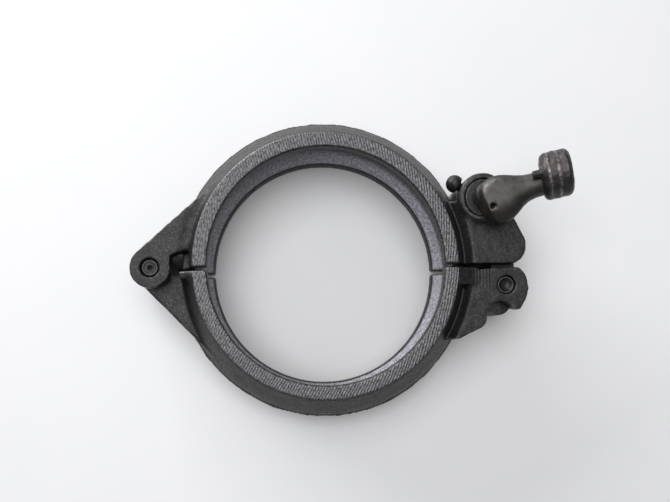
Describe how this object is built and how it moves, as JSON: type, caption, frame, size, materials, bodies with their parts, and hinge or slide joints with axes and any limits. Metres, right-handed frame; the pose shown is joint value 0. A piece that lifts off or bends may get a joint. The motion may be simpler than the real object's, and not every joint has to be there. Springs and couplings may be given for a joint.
{
  "type": "pipe coupling",
  "caption": "Hinged two-half pipe coupling with an inner groove, closed by a cam lever with a striking head that draws a hook tight.",
  "frame": {"origin": "centre of the bounding box's footprint, on the surface that the rear face rests on", "axes": "+Z along the pipe axis, from the rear face to the front face; +X from the hinge to the closing side"},
  "size_m": [0.2616, 0.1838, 0.0809],
  "materials": {
    "forged_steel": "forged, black scale over a grit texture, turned end faces",
    "pin_steel": "turned steel, darkened and worn",
    "lever_steel": "forged steel, smoother and worn grey",
    "head_steel": "forged steel, hammered, edges worn bright"
  },
  "bodies": {
    "lower": {"lower_half": "forged_steel", "keeper_pin": "pin_steel"},
    "upper": {"upper_half": "forged_steel", "hinge_pin": "pin_steel", "retaining_pin": "pin_steel"},
    "lever": {"cam_shaft": "pin_steel", "hub_washer": "pin_steel", "lever_arm": "lever_steel", "hub_roll_pin": "pin_steel", "striking_head": "head_steel", "head_pin": "pin_steel"},
    "hook": {"hook_link": "forged_steel"}
  },
  "joints": [
    {"name": "clamp_opening", "type": "hinge", "parent": "lower", "child": "upper", "pos_m": [-0.11887, 0.0014, 0.024], "axis": [0, 0, 1], "range_deg": [0, 100]},
    {"name": "lever_turn", "type": "hinge", "parent": "upper", "child": "lever", "pos_m": [0.08203, 0.0408, 0.024], "axis": [0, 0, -1], "range_deg": [0, 100]},
    {"name": "hook_swing", "type": "hinge", "parent": "lower", "child": "hook", "pos_m": [0.09603, -0.012, 0.024], "axis": [0, 0, -1], "range_deg": [0, 55]}
  ]
}
